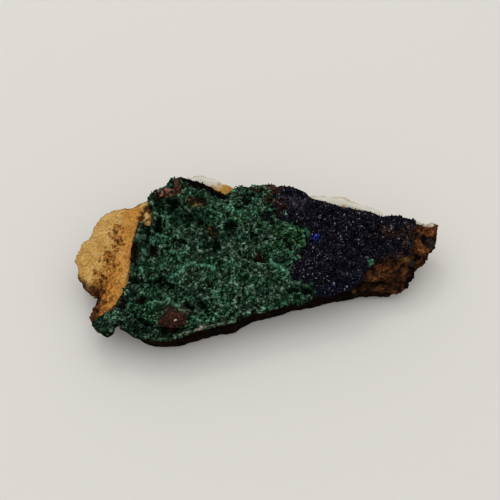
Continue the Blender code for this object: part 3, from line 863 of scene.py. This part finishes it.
MALACHITE_GRID = 0.26
CURL_SPACING = 0.95
OCHRE_SPOTS = [(-18.6, 15.2, -17.0, 14.7, 0.8), (-13.5, 6.6, -13.6, 7.0, 0.5)]
PALE_SPOTS = [(-20.4, 13.6, -20.0, 13.6, 0.6), (-37.2, -6.0, -36.4, -6.1, 0.5), (5.1, 20.7, 5.5, 20.5, 0.6)]
BACK_BAND = [
    (-24.0, 23.6, -20.6, 23.6, 0.7), (-20.6, 23.6, -16.6, 22.6, 0.7), (-16.6, 22.6, -10.8, 19.2, 0.6),
]
BROWN_SPOTS = [
    (-30.0, 18.4, -25.8, 20.2, 1.5), (-24.7, 23.9, -23.4, 20.4, 1.2), (-20.2, 16.6, -17.0, 16.2, 1.3),
    (-14.0, 7.8, -13.4, 6.0, 1.0), (3.6, 17.8, 8.0, 15.2, 1.6), (-24.2, -19.8, -24.0, -19.9, 3.4),
    (-2.4, 21.6, 1.0, 20.2, 1.1), (3.0, 22.0, 9.0, 21.0, 0.9), (-39.9, -16.4, -39.6, -14.6, 0.9),
    (-34.2, -15.2, -33.6, -14.2, 1.0), (-31.0, 1.6, -30.6, 0.0, 1.0), (-0.2, -1.4, 1.0, -2.0, 1.2),
    (-26.0, -23.8, -23.6, -24.2, 0.8), (-36.6, 3.0, -36.9, -2.4, 0.9), (-33.0, 12.0, -33.4, 9.6, 0.8),
]
PITS = [
    (-30.8, 1.2, -30.7, 0.4, 1.2), (-26.4, 16.8, -24.8, 15.6, 1.3), (-22.7, 23.8, -18.4, 22.8, 1.0),
    (-22.4, 24.4, -17.4, 24.0, 1.2), (-18.4, 22.8, -14.5, 21.4, 1.3), (-14.5, 21.4, -10.7, 18.7, 1.3),
    (-8.6, 8.4, -8.0, 8.0, 1.4), (-12.4, 2.8, -12.0, 2.2, 1.2), (-39.8, -16.2, -39.6, -15.4, 1.3),
    (-34.2, -14.8, -33.4, -14.6, 1.3), (-36.9, -7.8, -29.0, -9.4, 1.1), (-26.4, -9.6, -24.6, -10.4, 0.9),
    (-3.8, 17.3, -3.4, 16.6, 1.1), (8.7, 3.7, 9.6, 2.2, 1.1), (-36.5, 3.0, -36.8, -2.6, 0.5),
    (-30.0, 11.0, -29.6, 7.7, 1.2), (-16.6, -15.2, -14.6, -17.4, 1.0), (0.4, -1.8, 0.8, -2.0, 0.7),
    (-26.8, -23.6, -22.8, -23.9, 0.9), (-20.9, -16.4, -19.6, -16.8, 0.8), (-24.6, 4.0, -22.0, 3.2, 0.9),
    (-5.6, -14.6, -4.4, -15.0, 0.8), (-17.6, 8.6, -16.6, 9.6, 0.9), (-33.6, -20.6, -30.6, -22.4, 0.9),
    (-1.6, 6.2, -0.6, 5.4, 0.8),
]
LIME_SPOTS = [
    (6.7, 8.6, 12.2, 8.2, 2.0), (8.1, 5.8, 12.6, 5.2, 2.2), (5.4, 2.2, 6.6, 3.0, 1.1),
    (-32.8, -14.6, -30.6, -20.4, 1.6), (-29.4, 16.2, -28.6, 14.0, 0.9), (-7.6, 10.4, -5.8, 9.8, 1.2),
]
BRIGHT_SPOTS = [
    (-25.6, -7.4, -19.7, -2.9, 0.8), (-19.7, -2.9, -12.3, -4.8, 0.7), (-11.8, -13.2, -10.8, -15.0, 1.2),
    (-3.0, -12.8, -1.2, -13.4, 1.0), (3.0, 15.2, 3.6, 12.4, 1.0), (10.2, -0.2, 10.8, -2.4, 1.0),
    (6.8, -4.6, 8.6, -5.6, 0.9), (-7.4, 14.0, -5.6, 13.4, 1.1), (-35.6, -15.8, -35.2, -17.2, 1.0),
    (-31.4, -18.6, -30.2, -20.0, 1.1), (-13.2, 12.4, -12.2, 11.8, 1.0), (1.0, -8.2, 2.0, -8.8, 1.0),
    (-18.4, -20.4, -12.0, -19.4, 1.0), (1.9, 18.8, 4.4, 20.0, 1.0), (-22.6, -23.7, -22.0, -24.4, 0.7),
    (-20.6, 19.0, -19.8, 18.4, 0.9), (4.0, -2.6, 9.6, -6.6, 0.8), (-9.8, -4.6, -8.0, -3.0, 0.9),
    (-2.6, 12.6, 0.2, 13.4, 0.9),
]
BLUE_SPOTS = [
    (3.1, 12.6, 3.2, 11.0, 1.4), (3.2, 11.0, 4.6, 9.8, 0.9), (-33.4, 12.6, -32.4, 5.4, 0.8),
    (6.4, 19.2, 5.0, 15.4, 1.4), (-29.9, 10.6, -29.8, 8.6, 0.9), (9.4, -11.8, 15.2, -11.6, 1.0),
]
DIM_ZONES = [
    (-25.6, -23.6, -22.0, -24.2, 1.2), (-38.5, -21.5, -33.0, -23.5, 1.8),
    (-33.0, -23.5, -26.0, -25.5, 1.7), (-46.6, -20.6, -43.2, -23.6, 2.0), (-29.0, 18.2, -25.0, 13.2, 2.6),
    (-25.6, 21.8, -16.4, 23.0, 1.5), (-16.4, 22.8, -10.0, 18.8, 1.1), (-36.0, 3.0, -35.4, -4.6, 1.6),
    (-23.6, 10.4, -15.4, 11.6, 1.8), (-12.6, 5.4, -8.6, 7.0, 2.0), (-39.6, -14.6, -34.2, -14.2, 1.6),
    (-24.6, -11.2, -20.6, -13.6, 1.4), (-16.4, 4.2, -11.6, 1.8, 1.6), (9.0, -11.4, 15.6, -11.0, 1.5),
    (-30.4, 16.0, -28.4, 14.2, 1.3), (-32.4, 9.4, -30.2, 6.6, 1.6), (-33.0, 4.0, -32.6, 1.6, 1.2),
]
STRAND_RIDGES = [
    (-26.6, -13.6, -24.4, -16.2, 0.55), (-24.4, -16.2, -20.6, -18.9, 0.65),
    (-24.8, -7.2, -19.6, -3.4, 0.6), (3.8, -2.4, 9.4, -6.4, 0.6), (-19.4, -3.4, -13.0, -4.6, 0.5),
    (-31.6, 6.8, -27.2, 5.4, 0.5),
]
NOTCH = [(-41.2, -22.0, -40.2, -23.4, 0.9)]
NOTCH_DEPTH = 1.3
UNDERSIDE_SAG = 1.3
KNOB_BED = [(-25.2, -20.0, -23.4, -20.2, 2.7)]


class MalachiteSkin:
    """The crust's mounds, folds, curls, crumbs and hollows, worked out vertex by vertex for its base."""

    def __init__(self, mesh, azurite_tree):
        self.mesh = mesh
        self.places, self.normals = places_of(mesh), normals_of(mesh)
        places = self.places
        self.outer = smoothstep(-0.3, 0.2, self.normals[:, 2])
        self.wall = smoothstep(0.5, 0.2, np.abs(self.normals[:, 2]))
        facing_front = smoothstep(-0.2, -0.5, self.normals[:, 1])
        self.front_wall = self.wall * facing_front * smoothstep(12, 9, places[:, 0])
        self.border = smoothstep(1.6, 0.5, distance_to(azurite_tree, places))
        self.knob_bed = strokes(places, KNOB_BED, 0.2, 21)
        self.pits = strokes(places, PITS, 0.6, 20)
        self.strands = strokes(places, STRAND_RIDGES, 0.3, 33)
        self.ochre, self.pale = strokes(places, OCHRE_SPOTS, 0.6, 25), strokes(places, PALE_SPOTS, 0.6, 26)
        self.back_band = strokes(places, BACK_BAND, 0.4, 39)
        self.clumps = cells(places, 3.0, 22)
        self.folds = np.maximum(ridges(places, 2.2, 34), 0.9 * ridges(along_flow(places), 1.7, 38))
        self.curls = np.maximum(ridges(places, 1.25, 60), ridges(along_flow(places), 0.85, 64)) ** 1.5
        self.crumbs, self.apart, self.own = grains(swirl(places, 0.3, 0.9, 50), 1.0, 23)

    def shape(self):
        """Raises mounds, folds, crumbs and curls, sinks hollows, and moves the underside and the notch."""
        places, outer, wall = self.places, self.outer, self.wall
        relief = 0.7 * self.clumps + 0.7 * self.folds + 0.4 * self.crumbs * self.apart + 0.35 * self.curls
        relief = relief + 0.6 * cloud(places, 6.0, 24) - 1.4 - 0.8 * self.pits + 0.6 * self.strands
        relief = relief * outer * (1 - 0.6 * wall) - 0.6 * self.knob_bed * outer + (1 - outer) * 0.4
        relief += wall * (0.35 + 0.4 * self.border + 0.7 * cloud(places, 1.8, 36)) * (1 - self.front_wall)
        moved = places + self.normals * relief[:, None]
        underside = smoothstep(-0.6, -0.9, self.normals[:, 2])
        moved[:, 2] -= UNDERSIDE_SAG * underside * smoothstep(-31, -37, places[:, 0])
        moved[:, 1] += NOTCH_DEPTH * strokes(places, NOTCH, 0.2, 47, 3.0)
        put_places(self.mesh, moved)

    def paint_light(self):
        """Painted light and shade: how much each place catches the light, less in pits, hollows and under the
        crust. The grain mask holds painted highlights on the grains' tops, painted shade in the gaps between
        them, and pale curls, strands and spots.
        """
        places = self.places
        lit = 0.5 * self.clumps + 0.5 * self.folds + 0.5 * self.strands - 0.8 * self.pits
        lit = 0.45 + 0.85 * smoothstep(0.15, 0.75, lit)
        lit *= (1 - 0.8 * (1 - self.outer)) * (1 - 0.9 * self.pits)
        lit *= (1 - 0.58 * strokes(places, DIM_ZONES, 0.7, 35)) * (1 - 0.6 * self.back_band)
        paint(self.mesh, "lit", lit)
        # Painted highlight on each grain's top and painted shade in the gaps between grains.
        grain = smoothstep(0.35, 0.85, self.crumbs) * self.apart * (0.6 * self.own)
        curled = self.curls ** 1.5 * (0.08 + 0.85 * patches(places, 1.6, 68, -0.15, 0.3))
        stranded = self.strands * (0.15 + 0.4 * self.own)
        grain = np.maximum.reduce([grain, curled, stranded, 0.6 * self.ochre, 0.8 * self.pale])
        paint(self.mesh, "grain", grain)

    def paint_colours(self):
        """Where the crust is ochre, pale, brown, yellow-green, brighter green or blue-black."""
        places = self.places
        paint(self.mesh, "ochre", self.ochre)
        paint(self.mesh, "pale", self.pale)
        brown = np.maximum(strokes(places, BROWN_SPOTS, 0.6, 27), self.back_band)
        paint(self.mesh, "brown", np.maximum(brown, (1 - self.outer) * 0.8))
        paint(self.mesh, "lime", strokes(places, LIME_SPOTS, 0.6, 29) * 0.7)
        bright = np.maximum(strokes(places, BRIGHT_SPOTS, 0.8, 30), 0.6 * self.strands)
        paint(self.mesh, "bright", bright * 0.7 + 0.4 * patches(places, 3.2, 31, 0.16, 0.34))
        border = self.border * patches(places, 1.2, 37, -0.02, 0.12)
        paint(self.mesh, "blue", np.maximum(strokes(places, BLUE_SPOTS, 0.6, 32), 0.8 * border))

    def paint_covers(self):
        """Where tufts stand, on the front half and on the back half."""
        x, y, _ = self.places.T
        cover = self.outer * (1 - 0.85 * self.front_wall) * (1 - 0.9 * self.knob_bed)
        cover *= 1 - 0.7 * np.maximum(self.ochre, self.pale)
        front = smoothstep(-2.0, -2.01, y - 0.05 * x)
        paint(self.mesh, "front_cover", cover * front)
        paint(self.mesh, "back_cover", cover * (1 - front))


def make_malachite(azurite_tree):
    base = fine_copy("malachite_crust", "malachite_base", MALACHITE_GRID)
    skin = MalachiteSkin(base.data, azurite_tree)
    skin.shape()
    skin.paint_light()
    skin.paint_colours()
    skin.paint_covers()
    hand_over(base, malachite_material("malachite_base", False), "malachite_crust")
    shapes = [
        nub(8, 2, 0.6), nub(9, 2, 0.7),
        tuft(2, 2, 0.22, 0.45, 1.0), tuft(3, 2, 0.24, 0.5, 0.8), tuft(1, 2, 0.26, 0.5, 1.0),
    ]
    silky = malachite_material("malachite_curls", True, 0.06)
    for half, seed in (("front", 3), ("back", 5)):
        name = f"malachite_curls_{half}"
        curls = scatter(name, base, shapes, CURL_SPACING, 0.5, 1.0, 0.5, f"{half}_cover", seed)
        hand_over(curls, silky, "malachite_crust", smooth=False)
    put_away(shapes)


# Lumps of ironstone and a cream rim that the crusts have grown around

LUMP_GRID = 0.18
LUMP_ROUGHNESS = 0.4
# A painted highlight: a pale glint spot on the knob.
LUMP_GLINT_SPOT = [(-23.7, -21.9, -23.3, -21.7, 0.17)]
# Each cut is the way it faces, and how far out it lies on a block that reaches 1 each way.
KNOB_CUTS = [
    ((0.1, -0.8, 1.0), 0.62), ((-0.1, 0.7, 1.0), 0.66), ((-1.0, 0.6, 0.3), 0.62), ((1.0, 0.7, 0.3), 0.64),
    ((-1.0, -0.5, 0.5), 0.82), ((1.0, -0.4, 0.6), 0.80), ((0.5, -1.0, 0.2), 0.86), ((-0.5, -1.0, 0.3), 0.84),
]
LUMP_CUTS = [
    ((0.5, -0.8, 1.0), 0.72), ((-0.6, 0.7, 1.0), 0.70), ((-1.0, -0.6, 0.5), 0.78), ((1.0, 0.5, 0.6), 0.76),
    ((-1.0, 0.8, 0.0), 0.90), ((1.0, -0.9, 0.1), 0.88), ((0.1, 0.1, 1.0), 0.85),
]
# Along the rim: x, and half its thickness there.
CREAM_RIM = (
    (-22.8, 0.15), (-20.6, 0.16), (-18.2, 0.18), (-17.0, 0.36), (-16.2, 0.70), (-15.4, 0.30),
    (-13.0, 0.17), (-11.0, 0.12),
)
CREAM_RIM_HEIGHT = 13.0
CREAM_RIM_FORWARD = 0.15
CREAM_BEAD_SPACING = 0.25
CREAM_RIM_GRID = 0.14
CREAM_RIM_ROUGHNESS = 0.25

# A lump's name, the node it sits on, its x and y, how far its middle is above that node, its half sizes, its
# cuts, its seed, and how pink and how red it is.
LUMPS = (
    ("ironstone_knob", "malachite_crust", -24.5, -20.0, -0.7, (3.7, 2.8, 2.5), KNOB_CUTS, 61, 0.0, 1.0),
    ("rim_lump_left", "malachite_crust", -27.6, 19.4, -0.2, (2.6, 1.4, 1.2), LUMP_CUTS, 62, 0.6, 2.0),
    ("rim_lump_back", "malachite_crust", -24.2, 22.0, -0.1, (1.2, 2.4, 1.2), LUMP_CUTS, 63, 0.15, 2.5),
    ("rim_lump_right", "azurite_crust", 6.2, 21.0, -0.3, (3.2, 1.2, 1.2), LUMP_CUTS, 64, 0.0, 1.0),
    ("tip_lump", "host_rock", 51.6, 5.0, 0.0, (1.6, 1.5, 1.1), LUMP_CUTS, 65, 0.0, 0.0),
    ("end_pebble", "host_rock", 46.0, -1.1, 0.2, (1.0, 0.9, 0.8), LUMP_CUTS, 66, 0.0, 0.0),
)


def rough_skin(name, build, voxel, depth, seed):
    """A closed shape, built in millimetres, with a skin that is rough to about this depth."""
    shape = bmesh.new()
    build(shape)
    bmesh.ops.scale(shape, vec=(MM, MM, MM), verts=shape.verts)
    bmesh.ops.recalc_face_normals(shape, faces=shape.faces)
    mesh = bpy.data.meshes.new(name)
    shape.to_mesh(mesh)
    shape.free()
    piece = new_piece(name, mesh)
    even_out(piece, voxel)
    places, normals = places_of(piece.data), normals_of(piece.data)
    rough = depth * (cloud(places, 1.0, seed) + 0.6 * cloud(places, 0.45, seed + 1))
    put_places(piece.data, places + normals * rough[:, None])
    return piece


def chunk(name, place, size, cuts, seed):
    """A broken lump: a block that is cut flat by planes and then given its size and its place."""

    def build(shape):
        bmesh.ops.create_cube(shape, size=2.0)
        for facing, distance in cuts:
            facing = Vector(facing).normalized()
            parts = [*shape.verts, *shape.edges, *shape.faces]
            cut = bmesh.ops.bisect_plane(
                shape, geom=parts, plane_co=facing * distance, plane_no=facing, clear_outer=True
            )
            edges = [part for part in cut["geom_cut"] if isinstance(part, bmesh.types.BMEdge)]
            bmesh.ops.edgeloop_fill(shape, edges=edges)
        bmesh.ops.transform(shape, matrix=Matrix.Diagonal((*size, 1.0)), verts=shape.verts)
        bmesh.ops.translate(shape, vec=place, verts=shape.verts)

    return rough_skin(name, build, LUMP_GRID, LUMP_ROUGHNESS, seed)


def make_lumps(trees):
    iron = ironstone_material()
    for name, node, x, y, lift, size, cuts, seed, pink, red in LUMPS:
        lump = chunk(name, (x, y, height_at(trees[node], x, y) + lift), size, cuts, seed)
        places = places_of(lump.data)
        lower = smoothstep(0.4, -0.4, places[:, 1] - y + cloud(places, 1.5, seed + 2))
        paint(lump.data, "red", (0.35 + lower) * red)
        paint(lump.data, "pink", patches(places, 1.2, seed + 3, -0.2, 0.1) * pink)
        # The pale spot is a painted glint.
        paint(lump.data, "pale", strokes(places, LUMP_GLINT_SPOT, 0.3, seed + 4))
        hand_over(lump, iron, node)


def make_cream_rim(malachite_tree):
    """A thin rim of cream stone below the crust's front edge, with one knob on it."""

    def build(shape):
        for (x1, thick1), (x2, thick2) in zip(CREAM_RIM, CREAM_RIM[1:]):
            beads = max(2, round((x2 - x1) / CREAM_BEAD_SPACING))
            for bead in range(beads):
                share = bead / beads
                x, thick = x1 + share * (x2 - x1), thick1 + share * (thick2 - thick1)
                y = front_at(malachite_tree, x, CREAM_RIM_HEIGHT) - CREAM_RIM_FORWARD
                made = bmesh.ops.create_icosphere(shape, subdivisions=1, radius=thick)
                bmesh.ops.translate(shape, vec=(x, y, CREAM_RIM_HEIGHT), verts=made["verts"])

    rim = rough_skin("cream_rim", build, CREAM_RIM_GRID, CREAM_RIM_ROUGHNESS, 71)
    cream = Shade("cream_stone", 0.8, 0.2)
    grain = cream.noise(0.7, 3.0)
    tones = [(0.38, (0.06, 0.048, 0.034)), (0.52, (0.19, 0.165, 0.12)), (0.66, (0.44, 0.38, 0.29))]
    cream.colour(cream.ramp(grain, tones))
    cream.bump(grain, 0.12)
    hand_over(rim, cream.material, "malachite_crust")


# Azurite

AZURITE_GRID = 0.42
AZURITE_SMOOTHING = 6
RUST_ON_BLUE = [
    (38.0, 6.9, 42.6, 5.6, 1.3), (45.4, 8.4, 46.6, 3.0, 1.0), (37.4, -1.9, 45.0, -0.2, 1.1),
    (5.4, 17.2, 7.6, 14.8, 1.5), (44.0, 4.6, 43.0, 2.6, 0.7),
]
GREEN_ON_BLUE = [
    (33.2, -1.8, 33.8, -2.3, 1.0), (14.6, 8.4, 15.0, 6.0, 0.6), (7.6, 13.4, 8.4, 12.8, 0.6),
    (46.2, 1.9, 46.8, 1.2, 0.6),
]
VIVID_SPOT = [(17.2, 5.3, 17.9, 4.7, 0.55)]
FAINT_BLUE = [(8.6, 18.9, 9.2, 18.1, 0.9), (15.8, 5.0, 19.4, 3.6, 1.3), (17.6, -11.6, 28.6, -7.6, 1.2)]
VIOLET = [(10.0, 16.8, 12.2, 14.6, 1.5), (12.2, 14.6, 13.4, 16.2, 1.0)]


def dress_azurite(mesh, malachite_tree):
    """Gives the azurite's base its knots and ridges, and marks its colours and where crystals stand."""
    places, normals = places_of(mesh), normals_of(mesh)
    outer = smoothstep(-0.3, 0.2, normals[:, 2])
    wall = smoothstep(0.5, 0.2, np.abs(normals[:, 2]))
    knots, apart, _ = grains(places, 1.5, 41)
    relief = 0.7 * cells(places, 2.8, 42) + 0.45 * ridges(places, 2.0, 46) + 0.45 * knots * apart - 0.9
    relief *= outer * (1 - wall)
    relief += (1 - outer) * 0.3 + wall * 0.3
    put_places(mesh, places + normals * relief[:, None])
    paint(mesh, "vivid", strokes(places, VIVID_SPOT, 0.2, 43))
    paint(mesh, "faint", strokes(places, FAINT_BLUE, 0.6, 47))
    paint(mesh, "violet", strokes(places, VIOLET, 0.6, 48))
    border = smoothstep(1.5, 0.4, distance_to(malachite_tree, places)) * patches(places, 1.1, 49, 0.0, 0.14)
    paint(mesh, "green", np.maximum(strokes(places, GREEN_ON_BLUE, 0.5, 44), 0.8 * border))
    paint(mesh, "rust", strokes(places, RUST_ON_BLUE, 0.9, 45, 0.9) * 0.85)
    paint(mesh, "cover", outer * (1 - 0.7 * wall))


def make_azurite(malachite_tree):
    base = fine_copy("azurite_crust", "azurite_base", AZURITE_GRID)
    smooth_out(base, AZURITE_SMOOTHING)
    dress_azurite(base.data, malachite_tree)
    hand_over(base, azurite_material("azurite_base", False), "azurite_crust")
    shapes = [
        crystal(1, 0.8, 0.8, 0.25), crystal(2, 0.9, 0.6, 0.5),
        crystal(3, 0.7, 0.9, 0.6), crystal(4, 1.0, 0.45, 0.3),
    ]
    for name, spacing, low, high, gloss, seed in (
        ("azurite_dull_crystals", 0.44, 0.4, 0.85, 0.04, 11),
        ("azurite_bright_crystals", 0.50, 0.26, 0.58, 0.60, 13),
    ):
        druse = scatter(name, base, shapes, spacing, low, high, 0.7, "cover", seed)
        hand_over(druse, azurite_material(name, True, gloss), "azurite_crust", smooth=False)
    put_away(shapes)


# The floor, the light and the camera. The floor's and the lamps' sizes and places are in metres.

FLOOR_HALF_WIDTH = 1.5
FLOOR_COLOUR = (0.72, 0.704, 0.672, 1.0)
SKY_COLOUR = (1.0, 0.99, 0.965, 1.0)
SKY_STRENGTH = 0.715
CAMERA_ELEVATION = math.radians(60)
CAMERA_LENS = 71.5
CAMERA_SENSOR = 36
CAMERA_AIM = (0.05, 1.45, 10.0)
CAMERA_DISTANCE = 300
CAMERA_SHIFT_LEFT = 2.33
CAMERA_SHIFT_UP = 3.02


def make_stage():
    shape = bmesh.new()
    bmesh.ops.create_grid(shape, x_segments=1, y_segments=1, size=FLOOR_HALF_WIDTH)
    mesh = bpy.data.meshes.new("floor")
    shape.to_mesh(mesh)
    shape.free()
    floor = new_piece("floor", mesh)
    card = Shade("white_card", 0.8, 0.1)
    card.shader.inputs["Base Color"].default_value = FLOOR_COLOUR
    mesh.materials.append(card.material)


def make_light(name, place, size, watts):
    """A round lamp that faces the stone."""
    lamp = bpy.data.lights.new(name, "AREA")
    lamp.shape = "DISK"
    lamp.size = size
    lamp.energy = watts
    light = bpy.data.objects.new(name, lamp)
    light.location = place
    light.rotation_euler = (-Vector(place)).to_track_quat("-Z", "Y").to_euler()
    bpy.context.scene.collection.objects.link(light)


def make_studio():
    make_light("ceiling_softbox", (-0.08, 0.10, 0.85), 1.2, 2.6)
    make_light("back_glint", (-0.16, 0.42, 0.70), 0.16, 0.35)
    world = bpy.data.worlds.new("studio")
    world.use_nodes = True
    sky = world.node_tree.nodes["Background"]
    sky.inputs["Color"].default_value = SKY_COLOUR
    sky.inputs["Strength"].default_value = SKY_STRENGTH
    bpy.context.scene.world = world
    bpy.context.scene.view_settings.view_transform = "Standard"


def make_camera():
    """Looks down at the slab from the front."""
    back = Vector((0, -math.cos(CAMERA_ELEVATION), math.sin(CAMERA_ELEVATION)))
    up = Vector((0, math.sin(CAMERA_ELEVATION), math.cos(CAMERA_ELEVATION)))
    across = Vector((1, 0, 0))
    lens = bpy.data.cameras.new("camera")
    lens.lens = CAMERA_LENS
    lens.sensor_width = CAMERA_SENSOR
    lens.clip_start = 0.01
    camera = bpy.data.objects.new("camera", lens)
    turn = Matrix((across, up, back)).transposed().to_4x4()
    place = Vector(CAMERA_AIM) + CAMERA_DISTANCE * back - CAMERA_SHIFT_LEFT * across + CAMERA_SHIFT_UP * up
    camera.matrix_world = Matrix.Translation(place * MM) @ turn
    bpy.context.scene.collection.objects.link(camera)
    bpy.context.scene.camera = camera


make_stage()
make_studio()
make_camera()
trees = {node: tree_of(node) for node in ("host_rock", "malachite_crust", "azurite_crust")}
make_rock((trees["malachite_crust"], trees["azurite_crust"]))
make_malachite(trees["azurite_crust"])
make_azurite(trees["malachite_crust"])
make_lumps(trees)
make_cream_rim(trees["malachite_crust"])

bpy.context.view_layer.update()
